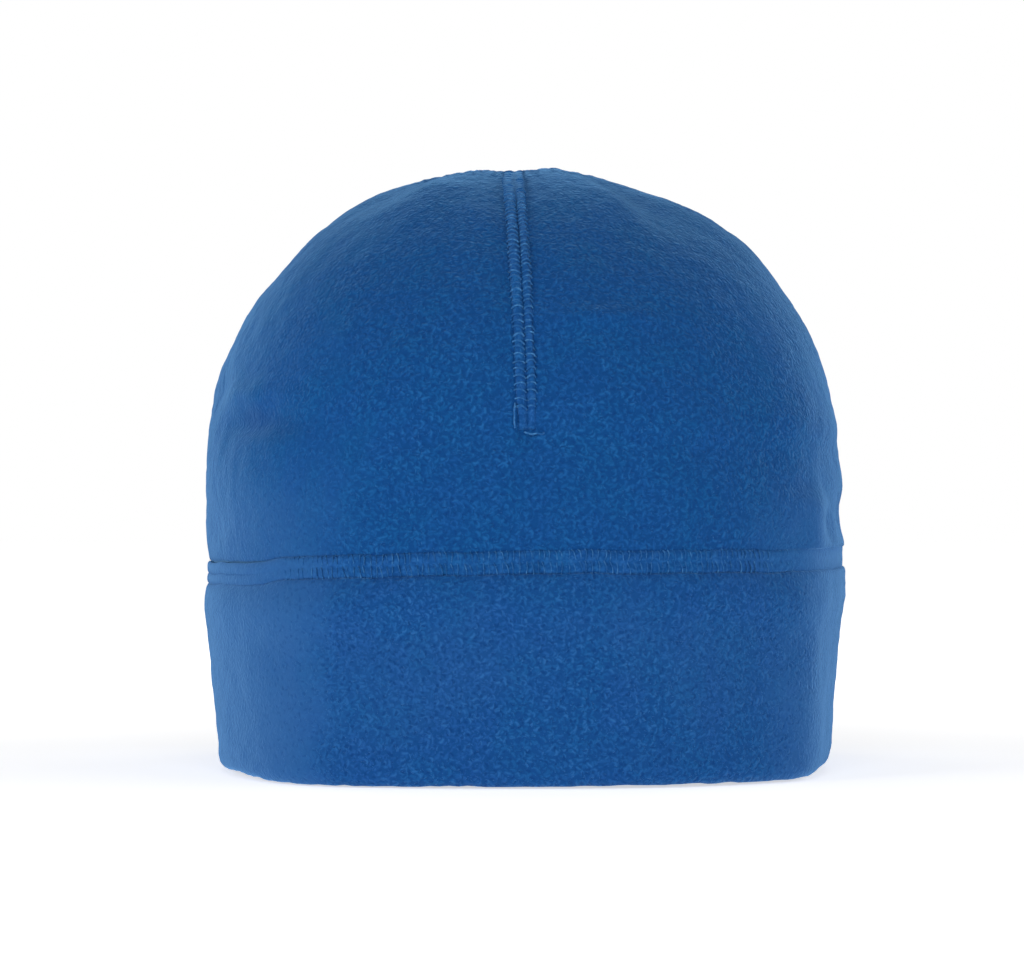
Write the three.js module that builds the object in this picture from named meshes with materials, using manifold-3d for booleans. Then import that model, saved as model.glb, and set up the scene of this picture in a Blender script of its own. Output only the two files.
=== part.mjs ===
// A fleece hat with a turned cuff, standing on its rim as it does on a table.
// The crown is one piece of fleece, shaped by darts that meet at the top. The cuff is a band of the
// same fleece folded double, with the fold at the rim. Flat overlock seams lie in shallow channels:
// a ring where cuff and crown meet, a long seam from the front dart over the top and down the back,
// and a dart at each side.
// Millimetres, +Z up, the origin on the floor under the middle of the hat. The front faces -Y.
import * as THREE from 'three';
import { LoftGeometry } from 'three/addons/geometries/LoftGeometry.js';
import { mergeVertices } from 'three/addons/utils/BufferGeometryUtils.js';
import Module from 'manifold-3d';

// Driving dimensions
const HEIGHT = 160.5;            // rim to the top of the crown
const HALF_WIDTH = 85.8;         // of the crown, from its middle to either side
const HALF_DEPTH = 100.4;        // of the crown, from its middle to the front or the back
const WIDEST = 75;               // height at which the crown's wall starts to turn into its dome
const SEAM = 55;                 // height of the cuff seam, at its middle line
const CLOTH = 2.4;               // thickness of one ply of fleece
const PLY_GAP = 0.4;             // between the two plies of the cuff
const GAP = 0.35;                // between a seam and the cloth that it lies in
const TOP_LEAN = -2.4;           // how far the top of the crown leans to the left

// Fullness is the power of the superellipse that a curve follows: 2 is an ellipse, more is squarer.
const DOME_FULLNESS = { side: 2.18, front: 2.3, back: 2.26 };
const PLAN_SQUARENESS = { rim: 2.4, top: 2.05 };

// The cuff seam isn't level: it rises to the right and at the front, and dips once on the left.
const SEAM_RISE = { right: 1.4, front: 0.8 };
const SEAM_DIP = { azimuth: -54, width: 7, depth: 1.2 };

// A flat overlock seam: a band with two rounded ridges and a groove between them.
const BAND_HALF = 3.1;
const BAND_THICK = 1.1;
const BAND_EDGE = 0.35;          // how much lower the band's edges are than its ridges
const BAND_GROOVE = 0.45;        // how much lower the groove is than the ridges
const BAND_SINK = 0.7;           // how far the cuff seam's ridges lie inside the crown's wall
const DART_PROUD = 0.1;          // how far a dart's ridges stand out of the crown
const WEB_HALF = 0.35;           // half the thickness of the stitches between cuff and crown
const DART_END = 94;             // height at which the front and side darts run out
const DART_SLANT = -2;           // degrees that the front dart strays to the left on its way up
const CUFF_JOIN = { width: 0.8, depth: 0.9 };   // the groove where the cuff's ends meet at the back

// The cross-section of a seam band: how far each point is across the band and below its ridges.
// One ridge is a little wider than the other.
const BAND_TOP = [
  { across: -BAND_HALF, below: BAND_EDGE },
  { across: -2.2, below: 0 },
  { across: -0.7, below: 0 },
  { across: 0.3, below: BAND_GROOVE },
  { across: 1.1, below: 0 },
  { across: 2.3, below: 0 },
  { across: BAND_HALF, below: BAND_EDGE },
];

// Mesh resolution
const COLUMNS = 60;              // round the hat
const DOME_ROWS = 13;            // from the upright wall to the top
const DART_STEPS = 9;            // along a dart
const WALL_STEPS = 3;            // along the long seam where it runs down the upright wall
const OVER_TOP = 0.93;           // the station where the long seam starts down the back
const CUTTER_CLEAR = 3;          // how far a cutting solid stands out of the face that it cuts

const DEGREE = Math.PI / 180;
const BAND_FLOOR = BAND_SINK + BAND_THICK + GAP;   // depth of the channel that the ring lies in
const BAND_REACH = BAND_HALF + GAP;                // half the width of that channel

// Folds and dents of the crown. Azimuth in degrees from the front, positive to the right; height
// above the rim, spread up and down, and depth in mm. A negative depth is a soft ridge.
const FOLDS = [
  { name: 'left crease, outer end', azimuth: -74, height: 100, width: 15, spread: 5, depth: 1.3 },
  { name: 'left crease', azimuth: -50, height: 94, width: 15, spread: 5, depth: 1.8 },
  { name: 'left crease, inner end', azimuth: -28, height: 89, width: 14, spread: 5, depth: 1.0 },
  { name: 'front crease', azimuth: 0, height: 86, width: 15, spread: 6, depth: 0.5 },
  { name: 'right crease, inner end', azimuth: 25, height: 84, width: 14, spread: 5, depth: 0.9 },
  { name: 'right crease', azimuth: 46, height: 82, width: 14, spread: 5, depth: 1.5 },
  { name: 'right crease, outer end', azimuth: 70, height: 85, width: 13, spread: 5, depth: 1.5 },
  { name: 'back crease, right', azimuth: 132, height: 88, width: 22, spread: 6, depth: 1.0 },
  { name: 'back crease, left', azimuth: -135, height: 91, width: 22, spread: 6, depth: 1.1 },
  { name: 'dent over the right of the cuff', azimuth: 72, height: 67, width: 8, spread: 5, depth: 1.5 },
  { name: 'dent over the left of the cuff', azimuth: -62, height: 64, width: 8, spread: 4, depth: 0.8 },
  { name: 'ridge left of the front dart', azimuth: -24, height: 150, width: 11, spread: 8, depth: -1.0 },
  { name: 'hollow at the top left', azimuth: -52, height: 152, width: 12, spread: 8, depth: 1.0 },
  { name: 'ridge right of the front dart', azimuth: 20, height: 150, width: 10, spread: 8, depth: -0.9 },
  { name: 'hollow at the top right', azimuth: 38, height: 148, width: 9, spread: 9, depth: 1.2 },
  { name: 'ridge by the right dart', azimuth: 60, height: 147, width: 11, spread: 8, depth: -0.9 },
  { name: 'hollow at the back right', azimuth: 135, height: 149, width: 14, spread: 9, depth: 1.1 },
  { name: 'hollow at the back left', azimuth: -130, height: 150, width: 14, spread: 9, depth: 1.0 },
];
const FOLD_FREE = 25;            // the folds fade out within this radius of the top

// The cuff's outer face from its seam down to its rounded rim. Reach is added to the crown's half
// width and half depth.
const CUFF_PROFILE = [
  { height: 51.5, reach: -0.9 },
  { height: 50, reach: -0.1 },
  { height: 47.5, reach: 0.5 },
  { height: 44.5, reach: 0.6 },
  { height: 38, reach: -0.4 },
  { height: 28, reach: -1.3 },
  { height: 16, reach: -2.5 },
  { height: 6, reach: -3.4 },
  { height: 1.6, reach: -4.0 },
  { height: 0.4, reach: -4.9 },
];
const RIM_ROUND = 1.5;           // how far the flat of the rim starts from each face of the cuff
const TUCK = { depth: 1.6, fade: 6 };          // how the cuff seam draws in the crown above it
const WALL_RISES = [BAND_REACH + 0.1, 5, 8, 13];   // rings of the crown's wall, above the seam

const wasm = await Module();
wasm.setup();

// A closed solid through a row of sections
function loftSolid(sections, options) {
  const skin = new THREE.BufferGeometry().copy(new LoftGeometry(sections, options));
  skin.deleteAttribute('normal');
  skin.deleteAttribute('uv');
  const merged = mergeVertices(skin);
  return new wasm.Manifold(new wasm.Mesh({
    numProp: 3,
    vertProperties: Float32Array.from(merged.attributes.position.array),
    triVerts: Uint32Array.from(merged.index.array),
  }));
}

// An angle in degrees brought to -180 to 180
function turned(azimuth) {
  return azimuth - 360 * Math.round(azimuth / 360);
}

// How high the cuff seam stands over its mean height at an azimuth
function seamRise(azimuth) {
  const tilt = SEAM_RISE.right * Math.sin(azimuth * DEGREE);
  const front = SEAM_RISE.front * (1 + Math.cos(azimuth * DEGREE)) / 2;
  const dip = SEAM_DIP.depth * Math.exp(-((turned(azimuth - SEAM_DIP.azimuth) / SEAM_DIP.width) ** 2));
  return tilt + front - dip;
}

// How deep the folds are at a place on the crown
function foldDepth(azimuth, height) {
  return FOLDS.reduce((sum, fold) => {
    const aside = turned(azimuth - fold.azimuth) / fold.width;
    const above = (height - fold.height) / fold.spread;
    return sum + fold.depth * Math.exp(-aside * aside - above * above);
  }, 0);
}

// A point of the oval that the hat has in plan
function planPoint(azimuth, halfWidth, halfDepth, squareness, height) {
  const x = Math.sin(azimuth * DEGREE);
  const y = -Math.cos(azimuth * DEGREE);
  const sum = Math.abs(x / halfWidth) ** squareness + Math.abs(y / halfDepth) ** squareness;
  const radius = sum ** (-1 / squareness);
  return new THREE.Vector3(x * radius, y * radius, height);
}

// A point of the cuff, by its height and how far it reaches past the crown's half width and depth.
// The cuff's top follows the seam line, and its rim is level.
function cuffPoint(azimuth, height, reach) {
  const z = height + seamRise(azimuth) * height / SEAM;
  return planPoint(azimuth, HALF_WIDTH + reach, HALF_DEPTH + reach, PLAN_SQUARENESS.rim, z);
}

// The crown's outer face without folds. A station of -1 is the seam line, 0 the top of the upright
// wall and 1 the top of the dome.
function crownPoint(azimuth, station) {
  const rise = seamRise(azimuth);
  if (station <= 0) {
    const height = WIDEST + station * (WIDEST - SEAM) - station * rise;
    return planPoint(azimuth, HALF_WIDTH, HALF_DEPTH, PLAN_SQUARENESS.rim, height);
  }
  const end = Math.cos(azimuth * DEGREE) > 0 ? DOME_FULLNESS.front : DOME_FULLNESS.back;
  const sideShare = Math.sin(azimuth * DEGREE) ** 2;
  const power = 2 / THREE.MathUtils.lerp(end, DOME_FULLNESS.side, sideShare);
  const reach = Math.max(Math.cos(station * Math.PI / 2), 0) ** power;
  const climbed = Math.sin(station * Math.PI / 2) ** power;
  const squareness = THREE.MathUtils.lerp(PLAN_SQUARENESS.rim, PLAN_SQUARENESS.top, climbed);
  const height = WIDEST + (HEIGHT - WIDEST) * climbed;
  const point = planPoint(azimuth, HALF_WIDTH, HALF_DEPTH, squareness, 0).multiplyScalar(reach);
  point.x += TOP_LEAN * climbed ** 4;
  point.z = height;
  return point;
}

// The direction straight out of the crown's face
function crownNormal(azimuth, station) {
  const STEP = 0.01;
  if (station > 1 - STEP) {
    return new THREE.Vector3(0, 0, 1);
  }
  const round = crownPoint(azimuth + 1, station).sub(crownPoint(azimuth - 1, station));
  const up = crownPoint(azimuth, station + STEP).sub(crownPoint(azimuth, station - STEP));
  return round.cross(up).normalize();
}

// A point at a depth under the crown's outer face, with the folds in it
function crownCloth(azimuth, station, depth) {
  const point = crownPoint(azimuth, station);
  const spread = THREE.MathUtils.smoothstep(Math.hypot(point.x - TOP_LEAN, point.y), 0, FOLD_FREE);
  const rise = point.z - SEAM - seamRise(azimuth);
  const tuck = TUCK.depth * Math.exp(-((rise / TUCK.fade) ** 2));
  const inset = depth + tuck + spread * foldDepth(azimuth, point.z);
  return point.addScaledVector(crownNormal(azimuth, station), -inset);
}

// The station at which the upright wall is a given rise above the seam line
function stationAtRise(rise, azimuth) {
  return rise / (WIDEST - SEAM - seamRise(azimuth)) - 1;
}

// The station at which the dome reaches a height at an azimuth
function stationAtHeight(azimuth, height) {
  let low = 0;
  let high = 1;
  while (high - low > 1e-5) {
    const middle = (low + high) / 2;
    if (crownPoint(azimuth, middle).z < height) {
      low = middle;
    } else {
      high = middle;
    }
  }
  return low;
}

// A closed loop of points round the hat
function ring(pointAt) {
  return Array.from({ length: COLUMNS }, (_, i) => pointAt(i * 360 / COLUMNS));
}

// A ring in the wall of the crown, by its rise above the seam line and its depth
function wallRing(rise, depth) {
  return ring((azimuth) => crownCloth(azimuth, stationAtRise(rise, azimuth), depth));
}

// A ring in the wall of the crown where it lies under the cuff seam
function edgeRing(rise, depth) {
  return ring((azimuth) => cuffPoint(azimuth, SEAM + rise, -depth));
}

// The crown: rings down the inside, under the edge, and up the outside
function makeCrown() {
  const stations = Array.from({ length: DOME_ROWS }, (_, i) => i / (DOME_ROWS - 1));
  const edgeDepth = TUCK.depth + CLOTH;
  const inside = [
    ...stations.toReversed().map((s) => ring((azimuth) => crownCloth(azimuth, s, CLOTH))),
    wallRing(WALL_RISES[1], CLOTH),
    edgeRing(BAND_REACH, edgeDepth),
    edgeRing(WEB_HALF + GAP, edgeDepth),
  ];
  const outside = [
    edgeRing(WEB_HALF + GAP, BAND_FLOOR),
    edgeRing(BAND_REACH, BAND_FLOOR),
    ...WALL_RISES.map((rise) => wallRing(rise, 0)),
    ...stations.map((s) => ring((azimuth) => crownCloth(azimuth, s, 0))),
  ];
  return loftSolid([...inside, ...outside]);
}

// A ring in the cuff, by its height and how far it reaches past the crown's half width and depth
function cuffRing(height, reach) {
  return ring((azimuth) => cuffPoint(azimuth, height, reach));
}

// The cuff: rings up the outer ply, down and up the slit between the plies, down the inner ply and
// under the rim
function makeCuff() {
  const top = SEAM - WEB_HALF - GAP;
  const [shoulder, , , widest] = CUFF_PROFILE;
  const [foot, rim] = CUFF_PROFILE.slice(-3, -1);
  const whole = 2 * CLOTH + PLY_GAP;
  const outer = [
    ...CUFF_PROFILE.toReversed().map((row) => cuffRing(row.height, row.reach)),
    cuffRing(SEAM - BAND_REACH, -BAND_FLOOR),
    cuffRing(top, -BAND_FLOOR),
  ];
  const slitRows = [{ height: top, reach: shoulder.reach }, widest, foot];
  const slit = [
    ...slitRows.map((row) => cuffRing(row.height, row.reach - CLOTH)),
    ...slitRows.toReversed().map((row) => cuffRing(row.height, row.reach - CLOTH - PLY_GAP)),
  ];
  const inner = [
    cuffRing(top, shoulder.reach - whole),
    cuffRing(widest.height, widest.reach - whole),
    cuffRing(foot.height, foot.reach - whole),
    cuffRing(rim.height, rim.reach - whole),
  ];
  const under = [
    cuffRing(0, rim.reach - whole + RIM_ROUND),
    cuffRing(0, rim.reach - RIM_ROUND),
  ];
  const loop = [...outer, ...slit, ...inner, ...under];
  return loftSolid([...loop, loop[0]]).subtract(makeCuffJoin());
}

// What is cut from the cuff at the back, where its own two ends meet: a shallow upright groove
function makeCuffJoin() {
  const rows = CUFF_PROFILE.slice(0, -2).toReversed();
  const sections = rows.map(({ height, reach }) => {
    const back = HALF_DEPTH + reach;
    return [
      new THREE.Vector3(-CUFF_JOIN.width / 2, back - CUFF_JOIN.depth, height),
      new THREE.Vector3(CUFF_JOIN.width / 2, back - CUFF_JOIN.depth, height),
      new THREE.Vector3(CUFF_JOIN.width / 2, back + CUTTER_CLEAR, height),
      new THREE.Vector3(-CUFF_JOIN.width / 2, back + CUTTER_CLEAR, height),
    ];
  });
  return loftSolid(sections, { capStart: true, capEnd: true });
}

// The seam between cuff and crown: a flat band outside, with its wider ridge on top, and a web of
// stitches that runs inwards between the two edges of cloth
function makeCuffSeam() {
  const flange = BAND_SINK + BAND_THICK;
  const webEnd = 2 * CLOTH + PLY_GAP - CUFF_PROFILE[0].reach - GAP;
  const section = [
    ...BAND_TOP.toReversed().map((p) => ({ rise: -p.across, depth: BAND_SINK + p.below })),
    { rise: BAND_HALF, depth: flange },
    { rise: WEB_HALF, depth: flange },
    { rise: WEB_HALF, depth: webEnd },
    { rise: -WEB_HALF, depth: webEnd },
    { rise: -WEB_HALF, depth: flange },
    { rise: -BAND_HALF, depth: flange },
  ];
  const loop = section.map((p) => cuffRing(SEAM + p.rise, -p.depth));
  return loftSolid([...loop, loop[0]]);
}

// Even steps along the crown from one place to another
function leg(from, to, steps) {
  return Array.from({ length: steps + 1 }, (_, i) => ({
    azimuth: THREE.MathUtils.lerp(from.azimuth, to.azimuth, i / steps),
    station: THREE.MathUtils.lerp(from.station, to.station, i / steps),
  }));
}

// The long seam: up the front dart, over the top and down the back to the cuff seam
function longRoute(frontEnd, backRise) {
  const front = { azimuth: 0, station: stationAtHeight(0, frontEnd) };
  const top = { azimuth: DART_SLANT, station: 1 };
  const overTop = { azimuth: 180, station: OVER_TOP };
  const backWall = { azimuth: 180, station: 0 };
  const back = { azimuth: 180, station: stationAtRise(backRise, 180) };
  return [
    ...leg(front, top, DART_STEPS),
    ...leg(overTop, backWall, DART_STEPS),
    ...leg(backWall, back, WALL_STEPS).slice(1),
  ];
}

// A side dart: from its lower end to a distance from the middle of the long seam
function sideRoute(azimuth, lowEnd, distance) {
  const share = (distance / HALF_WIDTH) ** (DOME_FULLNESS.side / 2);
  const low = { azimuth, station: stationAtHeight(azimuth, lowEnd) };
  const high = { azimuth, station: Math.acos(share) / (Math.PI / 2) };
  return leg(low, high, DART_STEPS);
}

// A solid along a route on the crown. The points of its outline are across and above the face.
function alongCrown(route, outline) {
  const centres = route.map(({ azimuth, station }) => crownCloth(azimuth, station, 0));
  const sections = centres.map((centre, i) => {
    const before = centres[Math.max(i - 1, 0)];
    const after = centres[Math.min(i + 1, centres.length - 1)];
    const ahead = after.clone().sub(before).normalize();
    const face = crownNormal(route[i].azimuth, route[i].station);
    const aside = ahead.clone().cross(face).normalize();
    const out = aside.clone().cross(ahead);
    return outline.map((p) => centre.clone()
      .addScaledVector(aside, p.across)
      .addScaledVector(out, p.above));
  });
  return loftSolid(sections, { capStart: true, capEnd: true });
}

// The outline of a dart's band, and of the channel that is cut for it
const bandOutline = [
  ...BAND_TOP.map((p) => ({ across: p.across, above: DART_PROUD - p.below })),
  { across: BAND_HALF, above: DART_PROUD - BAND_THICK },
  { across: -BAND_HALF, above: DART_PROUD - BAND_THICK },
];
const channelOutline = [
  { across: -BAND_REACH, above: CUTTER_CLEAR },
  { across: BAND_REACH, above: CUTTER_CLEAR },
  { across: BAND_REACH, above: DART_PROUD - BAND_THICK - GAP },
  { across: -BAND_REACH, above: DART_PROUD - BAND_THICK - GAP },
];

// A manifold-3d solid as a three.js geometry
function toGeometry(solid) {
  const mesh = solid.getMesh();
  const geometry = new THREE.BufferGeometry();
  geometry.setAttribute('position', new THREE.BufferAttribute(mesh.vertProperties, 3));
  geometry.setIndex(new THREE.BufferAttribute(mesh.triVerts, 1));
  geometry.computeVertexNormals();
  return geometry;
}

// The channels reach past both ends of their bands. At the back the long one runs out into the
// channel of the cuff seam, and at the top the side ones run into the long one.
const channels = [
  longRoute(DART_END - GAP, BAND_HALF),
  sideRoute(90, DART_END - GAP, BAND_HALF),
  sideRoute(-90, DART_END - GAP, BAND_HALF),
];
const crown = channels.reduce(
  (solid, route) => solid.subtract(alongCrown(route, channelOutline)),
  makeCrown(),
);

const fleece = new THREE.MeshStandardMaterial({ color: 0x1f5797, roughness: 0.95, metalness: 0 });
const thread = new THREE.MeshStandardMaterial({ color: 0x2a66a8, roughness: 0.75, metalness: 0 });

const hat = new THREE.Group();

function addPiece(name, solid, material) {
  const mesh = new THREE.Mesh(toGeometry(solid), material.clone());
  mesh.name = name;
  hat.add(mesh);
}

const bandEnd = BAND_HALF + 2 * GAP;
addPiece('crown', crown, fleece);
addPiece('cuff', makeCuff(), fleece);
addPiece('cuff_seam', makeCuffSeam(), thread);
addPiece('crown_seam_long', alongCrown(longRoute(DART_END, bandEnd), bandOutline), thread);
addPiece('crown_dart_right', alongCrown(sideRoute(90, DART_END, bandEnd), bandOutline), thread);
addPiece('crown_dart_left', alongCrown(sideRoute(-90, DART_END, bandEnd), bandOutline), thread);

export default hat;
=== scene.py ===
# %% [markdown]
# A fleece hat, made around its construction model.
#
# The hat is a dome of pilled fleece over a wide cuff of the same cloth, folded double. Flat
# overlock seams join them and shape the dome. The construction model holds the true size and the
# main folds. Here each soft piece is made again with the detail that cloth has: edges that roll
# into the seams, thread, nap, and a surface that is never quite even.
#
# The frame is in metres. Sizes below are in millimetres, easier to read, and MM turns them into
# metres.

# %% Frame
import math

import bpy
import numpy as np
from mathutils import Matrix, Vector, noise


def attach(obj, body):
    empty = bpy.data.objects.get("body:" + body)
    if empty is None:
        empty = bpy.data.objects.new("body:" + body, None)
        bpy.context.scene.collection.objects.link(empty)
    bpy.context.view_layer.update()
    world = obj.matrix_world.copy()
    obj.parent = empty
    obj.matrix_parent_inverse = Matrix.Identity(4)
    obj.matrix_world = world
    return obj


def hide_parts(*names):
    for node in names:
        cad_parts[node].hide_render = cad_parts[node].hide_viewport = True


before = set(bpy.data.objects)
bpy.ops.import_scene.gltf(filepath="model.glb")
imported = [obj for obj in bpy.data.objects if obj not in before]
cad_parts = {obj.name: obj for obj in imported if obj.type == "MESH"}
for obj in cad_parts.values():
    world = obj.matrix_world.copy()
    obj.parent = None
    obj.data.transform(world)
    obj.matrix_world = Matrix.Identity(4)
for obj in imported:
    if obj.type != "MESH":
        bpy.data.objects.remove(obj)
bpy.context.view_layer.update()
MM = 0.001

# %% [markdown]
# ## The camera
#
# The hat is looked at straight from the front, a little below the middle of its height, from
# about a metre away with a long lens. From so far the near rim hardly droops. The camera stands
# above the floor that the hat stands on.

# %% Camera
CAMERA_DISTANCE = 1.067
CAMERA_HEIGHT = 0.068
PICTURE_CENTRE = (-0.0034, 0.0, 0.0773)
LENS = 138.7

camera_data = bpy.data.cameras.new("camera")
camera_data.lens = LENS
camera_data.sensor_width = 36
camera = bpy.data.objects.new("camera", camera_data)
bpy.context.scene.collection.objects.link(camera)
camera.location = (0, -CAMERA_DISTANCE, CAMERA_HEIGHT)
aim = Vector(PICTURE_CENTRE) - camera.location
camera.rotation_euler = aim.to_track_quat("-Z", "Y").to_euler()
bpy.context.scene.camera = camera
print("camera looks up by degrees:", round(math.degrees(camera.rotation_euler.x) - 90, 2))

# %% [markdown]
# ## The hat's form
#
# Under its folds the hat has a plain form: upright walls that are oval in plan, and a dome whose
# outline is a superellipse, a curve between an ellipse and a rectangle. A place on the crown is
# given by its azimuth, in degrees from the front, and by its station: -1 at the cuff seam, 0
# where the dome starts and 1 at the top. The functions take whole arrays of places, because they
# move many thousands of points.

# %% Form of the crown
HEIGHT, WIDEST, SEAM = 160.5, 75.0, 55.0
HALF_WIDTH, HALF_DEPTH = 85.8, 100.4
CLOTH = 2.4
TOP_LEAN = -2.4
DOME_FULLNESS = {"side": 2.18, "front": 2.3, "back": 2.26}
PLAN_SQUARENESS = {"rim": 2.4, "top": 2.05}
SEAM_COURSE = (
    # azimuth, how far the seam lies above its mean height
    (-180, 0.0), (-135, -1.6), (-90, -2.9), (-54, -2.9), (-47, -2.8), (-42, -2.2), (-38, -1.4),
    (-28, -0.5), (-18, -0.15), (0, 0.8), (20, 0.8), (41, 0.8), (60, 1.3), (90, 1.8), (135, 1.0),
    (180, 0.0),
)
SEAM_WANDER = (
    # waves round the hat, sway
    (17, 0.12), (31, 0.1), (53, 0.08),
)
SOFTENING_ROUNDS = 30
# The azimuths where the crown's cloth starts to lie over the seam, does so fully, and stops.
COVERED = (43, 51, 104, 116)


def turned(azimuth):
    return (azimuth + 180) % 360 - 180


def unit(arrows):
    return arrows / np.linalg.norm(arrows, axis=-1, keepdims=True)


def lengths_along(line):
    """How far each point of a line is from its start, along the line."""
    return np.concatenate([[0], np.cumsum(np.linalg.norm(np.diff(line, axis=0), axis=1))])


def azimuth_of(points):
    return np.degrees(np.arctan2(points[:, 0], -points[:, 1]))


def smooth(value, low, high):
    share = np.clip((value - low) / (high - low), 0, 1)
    return share * share * (3 - 2 * share)


def between(azimuth, start, full, fading, end):
    """1 from one azimuth to another, with soft ends."""
    azimuth = turned(azimuth)
    return smooth(azimuth, start, full) * (1 - smooth(azimuth, fading, end))


def softened_course():
    """The seam's course with its corners rounded off, in steps of half a degree."""
    table = np.array(SEAM_COURSE)
    degrees = np.arange(-180, 180, 0.5)
    course = np.interp(degrees, table[:, 0], table[:, 1])
    for _ in range(SOFTENING_ROUNDS):
        course = (np.roll(course, 1) + 2 * course + np.roll(course, -1)) / 4
    for waves, sway in SEAM_WANDER:
        course = course + sway * np.sin(np.radians(degrees * waves + 40 * waves))
    return degrees, course


COURSE_DEGREES, COURSE = softened_course()


def seam_rise(azimuth):
    return np.interp(turned(azimuth), COURSE_DEGREES, COURSE, period=360)


def plan(azimuth, half_width, half_depth, squareness):
    x, y = np.sin(np.radians(azimuth)), -np.cos(np.radians(azimuth))
    total = np.abs(x / half_width) ** squareness + np.abs(y / half_depth) ** squareness
    radius = total ** (-1 / squareness)
    return x * radius, y * radius


def crown_form(azimuth, station):
    azimuth, station = np.broadcast_arrays(np.asarray(azimuth, float), np.asarray(station, float))
    dome = np.clip(station, 0, 1)
    end = np.where(np.cos(np.radians(azimuth)) > 0, DOME_FULLNESS["front"], DOME_FULLNESS["back"])
    side_share = np.sin(np.radians(azimuth)) ** 2
    power = 2 / (end + (DOME_FULLNESS["side"] - end) * side_share)
    reach = np.maximum(np.cos(dome * np.pi / 2), 0) ** power
    climbed = np.sin(dome * np.pi / 2) ** power
    rim, top = PLAN_SQUARENESS["rim"], PLAN_SQUARENESS["top"]
    x, y = plan(azimuth, HALF_WIDTH, HALF_DEPTH, rim + (top - rim) * climbed)
    wall = np.minimum(station, 0) * (WIDEST - SEAM - seam_rise(azimuth))
    z = WIDEST + (HEIGHT - WIDEST) * climbed + wall
    return np.stack([x * reach + TOP_LEAN * climbed**4, y * reach, z], -1)


def crown_normal(azimuth, station):
    step = 0.01
    station = np.asarray(station, float)
    low, high = np.minimum(station, 1 - 2 * step) - step, np.minimum(station, 1 - 2 * step) + step
    around = crown_form(azimuth + 1, high) - crown_form(azimuth - 1, high)
    up = crown_form(azimuth, high) - crown_form(azimuth, low)
    at_top = smooth(station, 1 - 3 * step, 1)[..., None]
    return unit(unit(np.cross(around, up)) * (1 - at_top) + np.array([0, 0, 1.0]) * at_top)


print("half girth, mm:", round(float(lengths_along(crown_form(np.arange(0, 181.0), 0))[-1]), 1))

# %% [markdown]
# ## Folds
#
# A soft crease runs across the crown where the hat was folded flat in its packet, higher on the
# left than on the right. Close to the top the dome's cloth is gathered between the darts. Each
# fold is a row of a table, a dent or a ridge with its place, its width, its spread up and down
# and its depth. The large ones are in the construction model too, and the small ones only here.
# The bottom of the sharpest creases is darkened as painted shade, with a table of its own.

# %% Folds of the crown
FOLDS = (
    # azimuth, height, width in degrees, spread, depth
    (-74, 100, 15, 5, 1.3), (-50, 94, 15, 5, 1.8), (-28, 89, 14, 5, 1.0), (0, 86, 15, 6, 0.5),
    (25, 84, 14, 5, 0.9), (46, 82, 14, 5, 1.5), (70, 85, 13, 5, 1.5), (132, 88, 22, 6, 1.0),
    (-135, 91, 22, 6, 1.1), (72, 67, 8, 5, 1.5), (-62, 64, 8, 4, 0.8), (-24, 150, 11, 8, -1.0),
    (-52, 152, 12, 8, 1.0), (20, 150, 10, 8, -0.9), (38, 148, 9, 9, 1.2), (60, 147, 11, 8, -0.9),
    (135, 149, 14, 9, 1.1), (-130, 150, 14, 9, 1.0),
)
FINE_FOLDS = (
    (88, 156, 30, 6, 2.4), (85, 139, 22, 7, -1.3), (-88, 153, 25, 6, -1.0), (-88, 133, 16, 6, 1.3),
    (-93, 101, 16, 8, -2.3), (-52, 97.5, 11, 3.5, -2.0), (-48, 90, 13, 3, 1.3),
    (-28, 84, 9, 4, 0.5), (-50, 76, 12, 7, -0.9), (92, 99, 16, 9, 1.2), (48, 75, 10, 3, 1.3),
    (60, 89, 16, 4, -0.9), (83, 66, 6, 5, 1.3), (51, 67, 4, 8, -1.4), (57.5, 64.5, 3.5, 3.5, 1.0),
    (-30, 152, 8, 5, -0.5), (27, 149, 6, 6, -0.6), (33, 150, 5, 8, 0.6), (13, 117, 9, 2.4, -1.1),
    (35, 159, 25, 3, -0.9),
)
PAINTED_CREASE_SHADE = (
    # azimuth, height, width, spread, how dark the painted shade is
    (-49, 92.5, 9, 3.4, 0.7),
    (-37, 89, 10, 3.0, 0.45),
    (-84, 104, 5, 3.5, 0.9),
    (48, 75, 7, 1.8, 0.5),
    (57.5, 64.5, 3, 2.6, 0.4),
)
FOLD_FREE = 25
TUCK_DEPTH, TUCK_FADE = 0.9, 6
CORNERS_FADE = (80, 125)
CORNERS = (
    # The hat was stored flat, which left four soft upright corners: azimuth, width, swell.
    (-33, 13, 1.7),
    (47, 9, 1.5),
    (126, 13, 1.2),
    (-130, 13, 1.2),
)


def fold_depth(azimuth, height, folds=FOLDS):
    total = np.zeros(np.broadcast(azimuth, height).shape)
    for at, high, width, spread, depth in folds:
        aside = turned(azimuth - at) / width
        above = (height - high) / spread
        total += depth * np.exp(-(aside**2) - above**2)
    return total


def bumps(azimuth, table):
    """Adds up smooth bumps round the hat, each a row of azimuth, width in degrees and height."""
    return sum(high * np.exp(-((turned(azimuth - at) / width) ** 2)) for at, width, high in table)


def crown_cloth(azimuth, station, depth):
    point = crown_form(azimuth, station)
    free = smooth(np.hypot(point[..., 0] - TOP_LEAN, point[..., 1]), 0, FOLD_FREE)
    rise = point[..., 2] - SEAM - seam_rise(azimuth)
    tuck = TUCK_DEPTH * np.exp(-((rise / TUCK_FADE) ** 2)) * (1 - between(azimuth, *COVERED))
    folds = fold_depth(azimuth, point[..., 2]) + fold_depth(azimuth, point[..., 2], FINE_FOLDS)
    corners = bumps(azimuth, CORNERS) * (1 - smooth(point[..., 2], *CORNERS_FADE))
    inset = depth + tuck + free * folds - corners
    return point - crown_normal(azimuth, station) * inset[..., None]


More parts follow.
